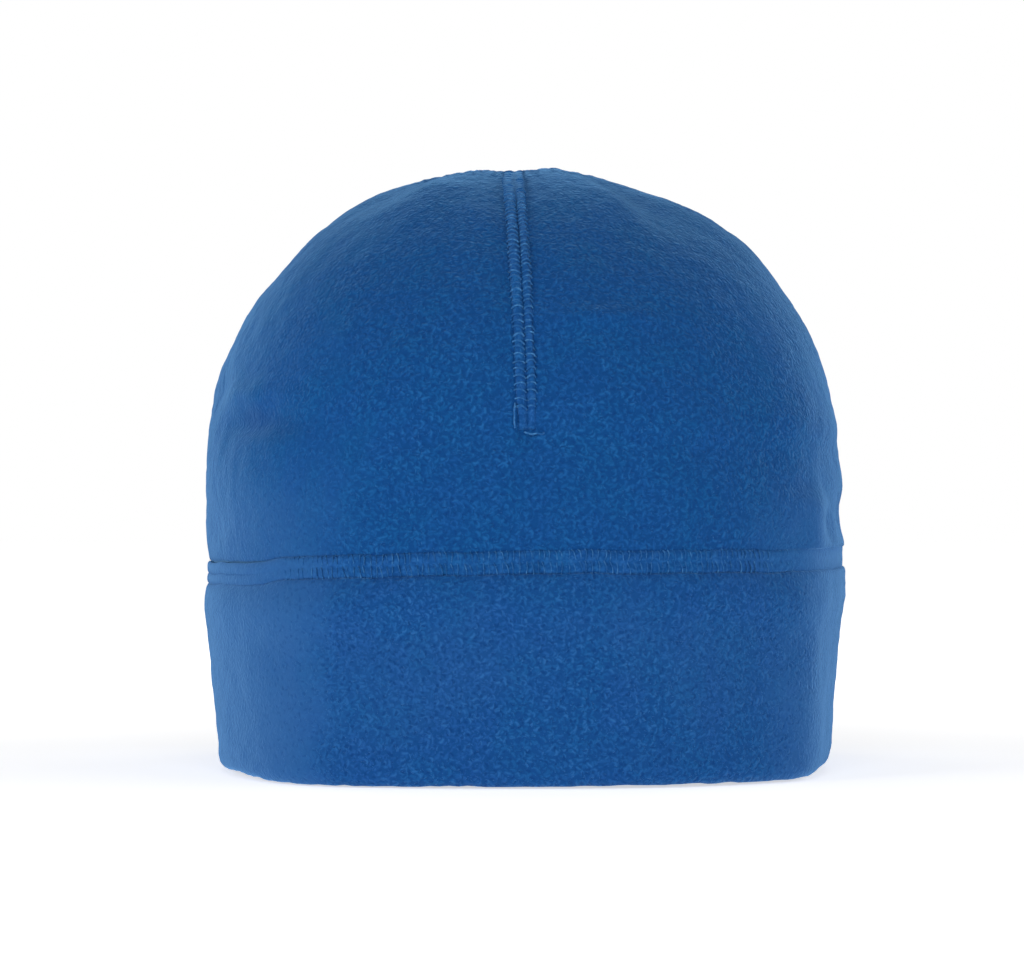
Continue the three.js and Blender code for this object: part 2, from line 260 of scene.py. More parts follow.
print("folds:", len(FOLDS) + len(FINE_FOLDS), "deepest, mm:", max(row[4] for row in FOLDS))

# %% [markdown]
# ## Uneven cloth
#
# No stretch of cloth is quite even. A noise of a few tenths of a millimetre keeps the light from
# sliding over it as over plastic. Blender's noise module gives a value for a point in space.

# %% Unevenness
CROWN_UNEVEN = (
    # height, wavelength, seed
    (0.4, 26, 1), (0.3, 9, 2), (0.24, 3.0, 3),
)
CUFF_UNEVEN = ((0.4, 30, 4), (0.3, 9, 5), (0.24, 3.0, 6))


def unevenness(points, wavelength, seed):
    shift = Vector((seed * 17.3, seed * 5.1, seed * 9.7))
    flat = points.reshape(-1, 3) / wavelength
    values = [noise.noise(Vector(p) + shift) for p in flat]
    return np.array(values).reshape(points.shape[:-1])


def uneven(points, table):
    return sum(high * unevenness(points, wavelength, seed) for high, wavelength, seed in table)


sample = uneven(crown_form(np.arange(0, 360, 5.0), 0), CROWN_UNEVEN)
print("the crown is uneven by mm:", round(sample.min(), 2), "to", round(sample.max(), 2))

# %% [markdown]
# ## Making and finishing a piece
#
# Every piece starts as a primitive that is added with nothing else selected. Its points are
# moved to their places on the hat. At the end doubles are merged, the faces are turned outwards
# and shaded smooth, and the object's place is applied, so that it sits at the origin.

# %% Making a piece


def object_mode():
    if bpy.context.object is not None and bpy.context.object.mode != "OBJECT":
        bpy.ops.object.mode_set(mode="OBJECT")


def select_nothing():
    object_mode()
    bpy.ops.object.select_all(action="DESELECT")


def only(obj):
    """Makes obj the one selected and active object."""
    select_nothing()
    obj.select_set(True)
    bpy.context.view_layer.objects.active = obj


def added(operator, name, **settings):
    select_nothing()
    operator(**settings)
    obj = bpy.context.object
    obj.name = obj.data.name = name
    return obj


def coordinates(obj):
    values = np.empty(len(obj.data.vertices) * 3)
    obj.data.vertices.foreach_get("co", values)
    return values.reshape(-1, 3)


def move_points(obj, points):
    """Puts every vertex at its new place, given in millimetres."""
    obj.data.vertices.foreach_set("co", (points * MM).ravel())
    obj.data.update()


def mark_groove_shade(obj, shade):
    """Keeps how deep each point lies in a groove or a crease, from 0 to 1, for the material to darken
    as painted shade.
    """
    layer = obj.data.attributes.new("groove", "FLOAT", "POINT")
    layer.data.foreach_set("value", np.clip(shade, 0, 1).astype(np.float32))


def edit(obj, action="DESELECT"):
    only(obj)
    bpy.ops.object.mode_set(mode="EDIT")
    bpy.ops.mesh.select_all(action=action)


def finish_piece(obj):
    edit(obj, "SELECT")
    bpy.ops.mesh.remove_doubles(threshold=1e-6)
    bpy.ops.mesh.normals_make_consistent(inside=False)
    object_mode()
    bpy.ops.object.transform_apply(location=True, rotation=True, scale=True)
    bpy.ops.object.shade_smooth()
    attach(obj, "root")
    print(obj.name, "triangles:", sum(len(p.vertices) - 2 for p in obj.data.polygons))


# %% [markdown]
# ## Where the darts run
#
# A dart is a wedge of cloth that is cut away and sewn shut, so that flat cloth domes. This hat
# has four, meeting at the top. The front one and the back one are sewn as one long seam, which
# strays a little to the left near the top. The thread pulls the cloth in, so it sinks beside a
# seam, most at its middle line.

# %% Darts
DART_END = 94
DART_TAB = 5.5
DART_SLANT = -2
DART_START = 0.35
DART_HALF = 2.7
VALLEY = {"low": 0.3, "high": 0.85, "width": 4.0, "deepens": (100, 145), "ends": (154, 160)}
UNDER_BAND = 1.0
RUN_OUT = (0.035, 0.004)
BAND_HALF = 3.1
GAP = 0.35


def station_at(azimuth, height):
    stations = np.linspace(0, 1, 4001)
    heights = crown_form(azimuth, stations)[:, 2]
    return float(np.interp(height, heights, stations))


FRONT_END = station_at(0, DART_END - DART_TAB)
SIDE_END = station_at(90, DART_END - DART_TAB)


def front_azimuth(station):
    share = np.clip((station - FRONT_END) / (1 - FRONT_END), 0, 1)
    return DART_START + (DART_SLANT - DART_START) * share


def seam_sink(azimuth, station):
    """How far the cloth sinks beside and under the dart seams."""
    point = crown_form(azimuth, station)
    line = crown_form(front_azimuth(station), station)
    side = np.abs(np.sin(np.radians(azimuth)))
    front = np.cos(np.radians(azimuth)) > 0
    from_front = np.abs(point[..., 0] - line[..., 0])
    from_back = np.abs(point[..., 0] - TOP_LEAN * smooth(station, 0, 1))
    from_side = np.abs(point[..., 1])
    height = point[..., 2]
    deepening = smooth(height, *VALLEY["deepens"]) * (1 - smooth(height, *VALLEY["ends"]))
    valley = VALLEY["low"] + (VALLEY["high"] - VALLEY["low"]) * deepening

    def trough(distance):
        beside = np.exp(-((np.maximum(distance - DART_HALF, 0) / VALLEY["width"]) ** 2))
        under = 1 - smooth(distance, DART_HALF - 0.9, DART_HALF - 0.1)
        return valley * beside + UNDER_BAND * under

    before, after = RUN_OUT
    along_front = np.where(front, smooth(station, FRONT_END - before, FRONT_END + after), 0)
    along_side = smooth(station, SIDE_END - before, SIDE_END + after) * (side > 0.3)
    along_side = np.maximum(along_side, smooth(station, 0.95, 1))
    depths = [
        trough(from_front) * along_front,
        trough(from_back) * np.where(front, 0, 1),
        trough(from_side) * along_side,
    ]
    return np.maximum.reduce(depths)


print("the front dart ends at station", round(FRONT_END, 3))

# %% [markdown]
# ## The crown
#
# The crown is one ply of cloth, open below, with an inside that shows. It is made like a cap from
# a ball, whose lower half is pushed up inside the upper half. That gives two skins that join at
# the edge. The ball's rings are then laid out along the crown, most of them over the outside,
# some round the edge that rolls into the seam, and a few inside. The columns stand closer
# together near the darts, where the cloth bends most.

# %% Crown
CROWN_COLUMNS = 480
OUTER_ROWS = 118
EDGE_ROWS = 9
ROLLED_EDGE = (
    # rise above the seam, depth
    (3.6, 0.03), (3.1, 0.1), (2.85, 0.3), (2.7, 0.8), (2.6, 1.4), (2.3, 2.0), (0.8, 2.2),
    (0.7, 3.2), (0.8, 3.9), (3.4, 3.6), (7.0, 2.6),
)
WALL_SPAN = WIDEST - SEAM
DRAWN_IN = 0.75
DEEPEST_SINK = 2.15
PUSHED_UP = 0.97
DART_CROWDING = 0.45
RUFFLED = {"from": 155.5, "to": 158, "height": 0.6, "wavelength": 2.0, "seed": 9}


def station_of_rise(rise):
    return rise / WALL_SPAN - 1


def crown_rows():
    """Station and depth of each ring, from the outer top to the inner top."""
    outer = np.concatenate([
        1 - np.linspace(0, 1, OUTER_ROWS - 13),
        np.linspace(0, station_of_rise(4.2), 14)[1:],
    ])
    rows = [(station, 0.0) for station in outer]
    rows += [(station_of_rise(rise), depth) for rise, depth in ROLLED_EDGE]
    rows += [(station, CLOTH) for station in (1 - np.cos(np.linspace(0.15, 1, 20) * np.pi / 2))]
    return np.array(rows)


rows = crown_rows()
crown = added(
    bpy.ops.mesh.primitive_uv_sphere_add, "crown_cloth",
    segments=CROWN_COLUMNS, ring_count=len(rows) - 1, radius=1,
)
edit(crown)
object_mode()
ball = coordinates(crown)
for vertex, height in zip(crown.data.vertices, ball[:, 2]):
    vertex.select = height < -1e-4
bpy.ops.object.mode_set(mode="EDIT")
bpy.ops.transform.resize(value=(PUSHED_UP, PUSHED_UP, -PUSHED_UP), center_override=(0, 0, 0))
object_mode()
print("rings of the ball:", len(rows), "and points:", len(ball))

# %% The crown's surface
elevation = np.degrees(np.arctan2(ball[:, 2], np.hypot(ball[:, 0], ball[:, 1])))
row = np.rint((90 - elevation) / 180 * (len(rows) - 1)).astype(int)
theta = azimuth_of(ball)
azimuth = theta - DART_CROWDING / 4 * np.degrees(np.sin(np.radians(4 * theta)))
station, depth = rows[row, 0], rows[row, 1]
points = crown_cloth(azimuth, station, depth)
outside = row < OUTER_ROWS + 1
form = crown_form(azimuth, station)
relief = np.zeros(len(points))
relief[outside] = uneven(form[outside], CROWN_UNEVEN) - seam_sink(azimuth, station)[outside]
ruffled = outside & (form[:, 2] > RUFFLED["from"])
ruffle = RUFFLED["height"] * unevenness(form[ruffled], RUFFLED["wavelength"], RUFFLED["seed"])
relief[ruffled] += ruffle * smooth(form[ruffled, 2], RUFFLED["from"], RUFFLED["to"])
above_seam = form[:, 2] - SEAM - seam_rise(azimuth)
relief = np.where(row < OUTER_ROWS, relief * smooth(above_seam, 2.6, 7), 0)
covering = (1 - smooth(above_seam, 3, 12)) * between(azimuth, *COVERED)
drawn = DRAWN_IN * (1 - smooth(depth, 0, CLOTH - 0.2)) * (1 - covering)
relief -= np.where(row < OUTER_ROWS + EDGE_ROWS, drawn, 0)
relief = np.maximum(relief, -DEEPEST_SINK)
points += crown_normal(azimuth, station) * relief[:, None]
move_points(crown, points)
# Painted shade: the crown's sharpest creases are darkened through the groove attribute.
mark_groove_shade(crown, np.where(outside, fold_depth(azimuth, form[:, 2], PAINTED_CREASE_SHADE), 0))
finish_piece(crown)
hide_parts("crown")

# %% [markdown]
# ## The cuff
#
# The cuff is a band of cloth folded double, with the fold at the rim and both edges in the seam.
# It starts as a torus. Each of the torus's rings is moved to its row of the cuff's cross-section:
# in under the seam, out over the soft shoulder, down the outside, round the fold and up the
# inside. The fold at the rim is lumpy, and it lifts a little off the floor in places.

# %% A ring round the hat


def torus_round(name, columns, rows):
    """A torus, with each point's azimuth and its row in the cross-section."""
    torus = added(
        bpy.ops.mesh.primitive_torus_add, name,
        major_segments=columns, minor_segments=rows, major_radius=1, minor_radius=0.3,
    )
    ring = coordinates(torus)
    turn = np.arctan2(ring[:, 2], np.hypot(ring[:, 0], ring[:, 1]) - 1)
    row = np.rint(-turn / (2 * np.pi) * rows).astype(int) % rows
    return torus, azimuth_of(ring), row


def outwards(azimuth):
    return np.stack([np.sin(np.radians(azimuth)), -np.cos(np.radians(azimuth)), 0 * azimuth], -1)


print("outwards at the right:", outwards(np.array(90.0)).round(3))

# %% Cuff
CUFF_COLUMNS = 480
RIM_SQUARER = 0.25
RIM_LIFT = 0.4
RIM_LIFTS = (
    # azimuth, width, lift
    (-58, 13, 1.0),
    (66, 13, 1.1),
    (22, 15, 0.15),
    (160, 18, 0.6),
)
RIM_LUMPS = ((0.35, 12, 15), (0.4, 4.5, 16), (0.25, 2.4, 17))
RIM_LUMPS_REACH, LUMPS_UP = 5, 0.15
CUFF_CORNER = 0.8
COVERED_REACH = 0.9
CUFF_PROFILE = (
    # height, reach past the crown's half width and half depth
    (54.2, -2.8), (53.0, -2.8), (52.4, -2.3), (52.3, -1.8), (52.1, -1.35), (51.7, -1.0),
    (50.8, -0.55), (49.4, -0.2), (47.8, 0.0), (46.2, 0.05), (44.5, 0.0), (38, -1.1), (28, -2.1),
    (16, -3.3), (7, -4.1), (3.4, -4.35), (1.8, -4.75), (0.9, -5.25), (0.35, -5.75), (0, -6.3),
    (0, -6.8), (0, -7.3), (0.35, -7.9), (0.9, -8.45), (2.2, -8.95), (6, -8.6), (16, -7.7),
    (44.5, -4.7), (54.2, -6.1),
)
CUFF_ROWS = (
    # steps from each row of the profile to the next
    1, 1, 1, 1, 1, 1, 1, 1, 1, 1, 6, 9, 11, 9, 3, 2, 1, 1, 1, 1, 1, 1, 1, 1, 2, 2, 4, 2, 2,
)


def cuff_rows():
    places = []
    closed = CUFF_PROFILE + CUFF_PROFILE[:1]
    for here, there, steps in zip(closed, closed[1:], CUFF_ROWS):
        for i in range(steps):
            share = i / steps
            places.append([a + (b - a) * share for a, b in zip(here, there)])
    return np.array(places)


def cuff_place(azimuth, height, reach):
    squareness = PLAN_SQUARENESS["rim"] + RIM_SQUARER * (1 - smooth(height, 0, 40))
    reach = reach + bumps(azimuth, CORNERS) * (1 + CUFF_CORNER * (1 - smooth(height, 42, 52)))
    x, y = plan(azimuth, HALF_WIDTH + reach, HALF_DEPTH + reach, squareness)
    lifted = RIM_LIFT * (1 + np.sin(np.radians(azimuth + 20))) / 2
    lifted = (lifted + bumps(azimuth, RIM_LIFTS)) * (1 - smooth(height, 0, 25))
    return np.stack([x, y, height + lifted + seam_rise(azimuth) * height / SEAM], -1)


cuff_table = cuff_rows()
cuff, azimuth, row = torus_round("cuff_cloth", CUFF_COLUMNS, len(cuff_table))
height, reach = cuff_table[row, 0], cuff_table[row, 1]
at_shoulder = smooth(height, 49, 52) * (reach > -2.5)
reach = reach + COVERED_REACH * between(azimuth, *COVERED) * at_shoulder
points = cuff_place(azimuth, height, reach)
outer = (reach > -6) & (height < 52.2) & (height > 0.01)
soft = smooth(height, 0, 6) * (1 - smooth(height, 49.5, 52.2))
points += outwards(azimuth) * (np.where(outer, uneven(points, CUFF_UNEVEN) * soft, 0))[:, None]
at_rim = np.exp(-((height / RIM_LUMPS_REACH) ** 2)) * (reach > -8.9)
lumps = uneven(points, RIM_LUMPS)
points += outwards(azimuth) * (lumps * at_rim)[:, None]
points[:, 2] += np.maximum(lumps + LUMPS_UP, 0) * at_rim
move_points(cuff, points)
finish_piece(cuff)
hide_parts("cuff")

# %% [markdown]
# ## The seam bands
#
# A flat overlock seam is a band about 6 mm wide. Under its threads the two cut edges of the cloth
# meet, which makes two soft ridges with a groove between them. The ring round the hat starts as a
# torus again. On the flanks it is pulled flat, and on the right the crown's cloth lies level with
# it. The bands of the darts start as a flat grid that is given a thickness, and are then laid
# over the crown along the line of the dart. No band reaches through to the inside of the hat.

# %% Cross-section of a band
BAND_SINK = 1.15
DART_PROUD = {"crown_seam_long": -0.72, "crown_dart_right": -1.1, "crown_dart_left": -1.1}
BAND_SECTION = (
    # across, below the ridges
    (-3.1, 1.2), (-2.95, 0.8), (-2.6, 0.3), (-2.1, 0.04), (-1.4, 0.0), (-0.7, 0.1), (-0.25, 0.38),
    (0.1, 0.75), (0.45, 0.38), (0.95, 0.1), (1.6, 0.0), (2.2, 0.06), (2.6, 0.32), (2.95, 0.8),
    (3.1, 1.2),
)
DART_SECTION = (
    (-3.1, 1.3), (-2.9, 0.85), (-2.5, 0.3), (-2.0, 0.05), (-1.4, 0.0), (-0.8, 0.1), (-0.3, 0.38),
    (0.1, 0.75), (0.35, 0.78), (0.75, 0.36), (1.15, 0.1), (1.65, 0.0), (2.15, 0.08), (2.55, 0.36),
    (2.9, 0.85), (3.1, 1.3),
)


print("the ring is", 2 * BAND_HALF, "mm wide and a dart's band", 2 * DART_HALF)

# %% Cuff seam
RING_COLUMNS = 960
RING_BUMP = 0.14
FLUSH = {
    # azimuths where it starts and ends, how flat the ridges are, how far the band comes up
    "right": (*COVERED, 0.95, 0.4),
    "left": (-112, -100, -46, -34, 0.5, 0.3),
    "front": (-40, -26, 36, 46, 0.1, -0.04),
}
GROOVE_ELSEWHERE = 0.35


def flushed(azimuth, below):
    """On the flanks the band is pulled flat and lies level with the cloth, most on the right."""
    for start, full, fading, end, flat, up in FLUSH.values():
        share = between(azimuth, start, full, fading, end)
        below = BAND_SINK + (below - BAND_SINK) * (1 - flat * share) - up * share
    return below


def groove_open(azimuth):
    """The groove between the ridges gapes on the left side only."""
    return GROOVE_ELSEWHERE + (1 - GROOVE_ELSEWHERE) * between(azimuth, -120, -100, -50, -38)


ring_section = [(across, BAND_SINK + below) for across, below in BAND_SECTION]
ring_section += [(3.1, 2.1), (0.35, 2.1), (0.35, 5.75), (-0.35, 5.75), (-0.35, 2.1), (-3.1, 2.1)]
ring_section = np.array(ring_section)
cuff_seam, azimuth, row = torus_round("cuff_seam_band", RING_COLUMNS, len(ring_section))
across, below = ring_section[row, 0], ring_section[row, 1]
shown = below < BAND_SINK + 1.25
in_groove = np.exp(-(((across - 0.1) / 0.6) ** 2))
below = below - np.where(shown, (below - BAND_SINK) * in_groove * (1 - groove_open(azimuth)), 0)
points = cuff_place(azimuth, SEAM - across, -np.where(shown, flushed(azimuth, below), below))
points += outwards(azimuth) * (np.where(shown, RING_BUMP * unevenness(points, 3.0, 7), 0))[:, None]
move_points(cuff_seam, points)
# Painted shade: the band darkens in its grooves and at its edges, less where the seam is covered or
# pulled flush.
open_seam = 1 - 0.9 * between(azimuth, *COVERED)
open_seam *= 1 - 0.7 * (across < -2) * between(azimuth, *FLUSH["left"][:4])
open_seam *= 1 - 0.85 * (abs(across) > 2) * between(azimuth, *FLUSH["front"][:4])
mark_groove_shade(cuff_seam, np.where(shown, (below - BAND_SINK) / 0.9 * open_seam, 1))
finish_piece(cuff_seam)
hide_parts("cuff_seam")

# %% Routes of the dart seams
SIDE_GAP = BAND_HALF + 2 * GAP


def long_route(step):
    """Up the front, over the top and down the back. Azimuth 180 is kept apart from the front's."""
    up = np.linspace(FRONT_END, 1, 400)
    down = np.linspace(1, station_of_rise(SIDE_GAP), 600)
    front = crown_cloth(front_azimuth(up), up, 0.0)
    back = crown_cloth(180.0, down, 0.0)
    line = np.concatenate([front, back[1:]])
    faces = np.concatenate([crown_normal(front_azimuth(up), up), crown_normal(180.0, down)[1:]])
    return resampled(line, faces, step)


def side_route(azimuth, step):
    share = (SIDE_GAP / HALF_WIDTH) ** (DOME_FULLNESS["side"] / 2)
    stations = np.linspace(SIDE_END, math.acos(share) / (math.pi / 2), 400)
    return resampled(crown_cloth(azimuth, stations, 0.0), crown_normal(azimuth, stations), step)


def resampled(line, faces, step):
    """A line in even steps, with the ways aside and outwards at each."""
    lengths = lengths_along(line)
    count = max(2, int(round(lengths[-1] / step)))
    wanted = np.linspace(0, lengths[-1], count + 1)
    along = np.stack([np.interp(wanted, lengths, line[:, i]) for i in range(3)], -1)
    face = np.stack([np.interp(wanted, lengths, faces[:, i]) for i in range(3)], -1)
    ahead = unit(np.gradient(along, axis=0))
    aside = unit(np.cross(ahead, face))
    return {"along": along, "aside": aside, "out": np.cross(aside, ahead), "length": lengths[-1]}


def placed(route, at, across, above):
    """A point in space for each place along, across and above a route."""
    steps = np.linspace(0, route["length"], len(route["along"]))
    line, aside, out = (
        np.stack([np.interp(at, steps, route[key][:, i]) for i in range(3)], -1)
        for key in ("along", "aside", "out")
    )
    return line + aside * across[:, None] + out * above[:, None]


routes = {
    "crown_seam_long": long_route(1.0),
    "crown_dart_right": side_route(90.0, 1.0),
    "crown_dart_left": side_route(-90.0, 1.0),
}
for name, route in routes.items():
    print(name, "length, mm:", round(float(route["length"]), 1))

# %% Dart bands
BAND_ACROSS = 18
BAND_TAPER = {"length": 8.0, "depth": 0.75}
BAND_FLOOR = 2.25
BAND_BUMP = 0.12
CREST = {"sink": 0.3, "from": 150, "to": 158}
FLATTER = {"share": 0.8, "from": 142, "to": 156}


def dart_taper(at):
    """A dart's seam sinks away into the cloth towards its lower end."""
    return BAND_TAPER["depth"] * (1 - smooth(at, 0, BAND_TAPER["length"]))


def height_on(route, at):
    return placed(route, at, 0 * at, 0 * at)[:, 2]


def crest_sink(route, at):
    """Over the top of the hat a seam lies level with the cloth beside it."""
    return CREST["sink"] * smooth(height_on(route, at), CREST["from"], CREST["to"])


def dart_band(node, route):
    steps = int(route["length"] / 0.8)
    proud = DART_PROUD[node]
    band = added(
        bpy.ops.mesh.primitive_grid_add, node + "_band",
        x_subdivisions=BAND_ACROSS, y_subdivisions=steps, size=2,
    )
    edit(band, "SELECT")
    bpy.ops.mesh.extrude_region_move(TRANSFORM_OT_translate={"value": (0, 0, -1)})
    object_mode()
    flat = coordinates(band)
    across = flat[:, 0] * DART_HALF
    at = (flat[:, 1] + 1) / 2 * route["length"]
    top = flat[:, 2] > -0.5
    section = np.array(DART_SECTION)
    below = np.interp(across * BAND_HALF / DART_HALF, section[:, 0], section[:, 1])
    flatter = FLATTER["share"] * smooth(height_on(route, at), FLATTER["from"], FLATTER["to"])
    below = below * (1 - flatter)
    above = proud - below - dart_taper(at) - crest_sink(route, at)
    above = np.where(top, np.maximum(above, 0.1 - BAND_FLOOR), -BAND_FLOOR)
    points = placed(route, at, across, above)
    bump = BAND_BUMP * unevenness(points, 3.0, 8)
    move_points(band, placed(route, at, across, above + np.where(top, bump, 0)))
    # Painted shade in the band's middle groove and along its edges.
    mark_groove_shade(band, np.where(top, below, 1))
    finish_piece(band)
    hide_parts(node)
    return band


bands = [dart_band(node, route) for node, route in routes.items()]

# %% [markdown]
# ## The stitches
#
# Each stitch of the overlock is a loop of thread that comes up in the groove, arches over a ridge
# and goes down at the band's edge. One stitch is modelled once, as a thin tube, and copied along
# each side of each band. No two are quite alike, so each copy is a little longer, shorter or more
# slanted than the last. The pile swallows the stitches towards the flanks.

# %% One stitch
THREAD_SIDES = 5
STITCH_PATH = (
    # along the seam, across from the groove to the edge, above the ridges
    (-0.50, 0.15, -0.50), (-0.22, 0.55, -0.14), (0.02, 1.15, 0.04), (0.12, 1.75, 0.06),
    (0.06, 2.35, -0.02), (-0.14, 2.75, -0.18), (-0.30, 3.02, -0.38), (-0.20, 3.12, -0.75),
)
THREAD_RADIUS = 0.23


def tube_along(name, path, radius, sides):
    """A closed tube through a few points, extruded ring by ring from a small circle."""
    path = np.array(path)
    tube = added(bpy.ops.mesh.primitive_circle_add, name, vertices=sides, radius=radius,
                 fill_type="NGON", location=(0, 0, 0))
    edit(tube, "SELECT")
    for _ in path[1:]:
        bpy.ops.mesh.extrude_region_move(TRANSFORM_OT_translate={"value": (0, 0, 1)})
    object_mode()
    flat = coordinates(tube)
    index = np.rint(flat[:, 2]).astype(int)
    ahead = unit(np.gradient(path, axis=0))
    up = unit(np.cross(ahead, np.array([0.3, 0.2, 1.0])))
    side = np.cross(ahead, up)
    points = path[index] + up[index] * flat[:, :1] + side[index] * flat[:, 1:2]
    tube.data.vertices.foreach_set("co", points.ravel())
    edit(tube, "SELECT")
    bpy.ops.mesh.normals_make_consistent(inside=False)
    object_mode()
    return tube


stitch = tube_along("stitch", STITCH_PATH, THREAD_RADIUS, THREAD_SIDES)
print("one stitch has faces:", len(stitch.data.polygons))

# %% Rows of stitches


def copies_of(template, name, place_copy, count):
    """One mesh that holds a copy of the template for each number up to count."""
    shape = coordinates(template)
    faces = [tuple(p.vertices) for p in template.data.polygons]
    all_points = np.concatenate([place_copy(i, shape) for i in range(count)])
    all_faces = [tuple(v + i * len(shape) for v in face) for i in range(count) for face in faces]
    mesh = bpy.data.meshes.new(name)
    mesh.from_pydata((all_points * MM).tolist(), [], all_faces)
    obj = bpy.data.objects.new(name, mesh)
    bpy.context.scene.collection.objects.link(obj)
    return obj


def stitch_row(name, place, first, last, pitch, seed, arch=1.0, lift_at=None):
    """Stitches on both ridges of a band. place turns along, across and above into points."""
    random = np.random.default_rng(seed)
    count = int((last - first) / pitch)
    pitch = (last - first) / count
    jitter = random.uniform(-1, 1, (2 * count, 5))

    def place_copy(i, shape):
        sign = -1 if i % 2 else 1
        slip, slant, reach, lift, lean = jitter[i]
        lift = min(lift, 0.6)
        start = first + (i // 2) * pitch + pitch / 4
        along = shape[:, 0] * arch * (1 + 0.3 * lean) + 0.3 * slip + start
        across = shape[:, 1] * (1 + 0.05 * reach)
        along = along + (0.25 + 0.45 * slant) * (across - 1.6) * 0.5 * -sign
        above = shape[:, 2] + 0.16 * lift + (lift_at(start) if lift_at else 0)
        return place(along, across * sign + 0.3 * (across < 2.6), above)

    row = copies_of(stitch, name, place_copy, 2 * count)
    print(name, "stitches:", 2 * count)
    return row


STITCH_SUNK = {"crown_seam_long": 0.0, "crown_dart_right": 0.35, "crown_dart_left": 0.35}
BURIED_DEPTH = 0.45
BURIED = ((-140, -120, -48, -26), (34, 50, 120, 140))
CUFF_AZIMUTHS = np.linspace(0, 360, 1441)
cuff_lengths = lengths_along(cuff_place(CUFF_AZIMUTHS, SEAM, -BAND_SINK))


def place_on_cuff_seam(along, across, above):
    azimuth = np.interp(np.mod(along, cuff_lengths[-1]), cuff_lengths, CUFF_AZIMUTHS)
    return cuff_place(azimuth, SEAM + 0.94 * across, above - BAND_SINK)


def place_on(node):
    route, proud = routes[node], DART_PROUD[node]

    def place(along, across, above):
        narrow = across * DART_HALF / BAND_HALF
        along = np.clip(along, 0, route["length"])
        sunk = dart_taper(along) + 1.5 * crest_sink(route, along) + STITCH_SUNK[node]
        above = above + proud - sunk
        return placed(route, along, narrow, np.maximum(above, -BAND_FLOOR))
    return place


def cuff_stitch_lift(along):
    azimuth = turned(float(np.interp(along, cuff_lengths, CUFF_AZIMUTHS)))
    return -BURIED_DEPTH * float(sum(between(azimuth, *stretch) for stretch in BURIED))


threads = [stitch_row("cuff_seam_stitches", place_on_cuff_seam, 0, cuff_lengths[-1], 1.5, 11,
                      arch=0.4, lift_at=cuff_stitch_lift)]
for number, (node, route) in enumerate(routes.items()):
    threads.append(stitch_row(node + "_stitches", place_on(node), DART_TAB, route["length"], 1.9,
                              12 + number))
only(stitch)
bpy.ops.object.delete()

# %% [markdown]
# At its lower end the front dart runs out in a plain tab. One thread goes on down the tab's left
# edge, and the cut end of another lies on the cloth just under it. Both are tubes again. They are
# laid on the front of the crown by their place across and up.

# %% Thread ends
LEFT_THREAD = (
    # across, up, above the cloth
    (-2.3, 95.0, 0.0), (-2.5, 93.4, 0.1), (-2.45, 91.6, 0.08), (-2.5, 90.2, 0.08), (-2.3, 88.9, -0.3),
)
CUT_THREAD = (
    (0.0, 87.9, -0.3), (0.7, 87.6, 0.1), (1.9, 87.3, 0.14), (3.1, 87.55, 0.1), (4.2, 87.4, 0.12),
    (4.9, 87.7, -0.25),
)


def lay_on_front(thread):
    flat = coordinates(thread)
    heights = np.linspace(80, 100, 81)
    stations = np.array([station_at(0, height) for height in heights])
    station = np.interp(flat[:, 1], heights, stations)
    front = -crown_form(0, station)[:, 1]
    azimuth = np.degrees(np.arctan2(flat[:, 0], front))
    cloth = crown_cloth(azimuth, station, DRAWN_IN)
    move_points(thread, cloth + crown_normal(azimuth, station) * flat[:, 2:])
    return thread


threads += [
    lay_on_front(tube_along("thread_left_of_tab", LEFT_THREAD, THREAD_RADIUS, THREAD_SIDES)),
    lay_on_front(tube_along("thread_cut_end", CUT_THREAD, THREAD_RADIUS, THREAD_SIDES)),
]
for row in threads:
    finish_piece(row)

# %% [markdown]
# ## Materials
#
# Fleece is brushed knit: up close it shows short curls, each about a millimetre long, lying every
# way over gaps. The curls are coloured lighter along their backs as painted highlight, and the gaps
# darker as painted shade. At a grazing angle the fibre ends catch the light and pale the colour,
# which the shader's own sheen does here.
#
# A Voronoi texture scatters cell centres through space, and gives each point its nearest centre
# and a random colour. Laid flat on the surface, the random colour becomes the direction of one
# curl, and the distance from that line its rounded back. Three such layers of different density
# make the pile, and a fourth its pits, which are dented and coloured dark as painted shade.

# %% Node helpers


def give(tree, node, inputs):
    """Links each input of a node to another's output, or sets it to a number or a vector."""
    for socket, value in dict(inputs).items():
        if isinstance(value, bpy.types.NodeSocket):
            tree.links.new(value, node.inputs[socket])
        else:
            node.inputs[socket].default_value = value
    return node


def put(tree, kind, inputs=(), **settings):
    node = tree.nodes.new(kind)
    for key, value in settings.items():
        setattr(node, key, value)
    return give(tree, node, inputs)


def new_group(name, vectors_in, numbers_in, numbers_out):
    """A node group with named sockets, what comes into it, and the node that its results go to."""
    tree = bpy.data.node_groups.new(name, "ShaderNodeTree")
    sockets = [(socket, "INPUT", "NodeSocketVector") for socket in vectors_in]
    sockets += [(socket, "INPUT", "NodeSocketFloat") for socket in numbers_in]
    sockets += [(socket, "OUTPUT", "NodeSocketFloat") for socket in numbers_out]
    for socket, way, kind in sockets:
        tree.interface.new_socket(socket, in_out=way, socket_type=kind)
    return tree, put(tree, "NodeGroupInput").outputs, put(tree, "NodeGroupOutput")


def maths(tree, operation, *values):
    return put(tree, "ShaderNodeMath", enumerate(values), operation=operation).outputs[0]


def times(tree, first, second):
    return maths(tree, "MULTIPLY", first, second)


def vectors(tree, operation, *values):
    made = put(tree, "ShaderNodeVectorMath", enumerate(values), operation=operation).outputs
    return made["Value" if operation in ("DOT_PRODUCT", "LENGTH") else "Vector"]


def noise_at(tree, vector, scale, detail=2.0, roughness=0.5):
    inputs = {"Vector": vector, "Scale": scale, "Detail": detail, "Roughness": roughness}
    return put(tree, "ShaderNodeTexNoise", inputs).outputs


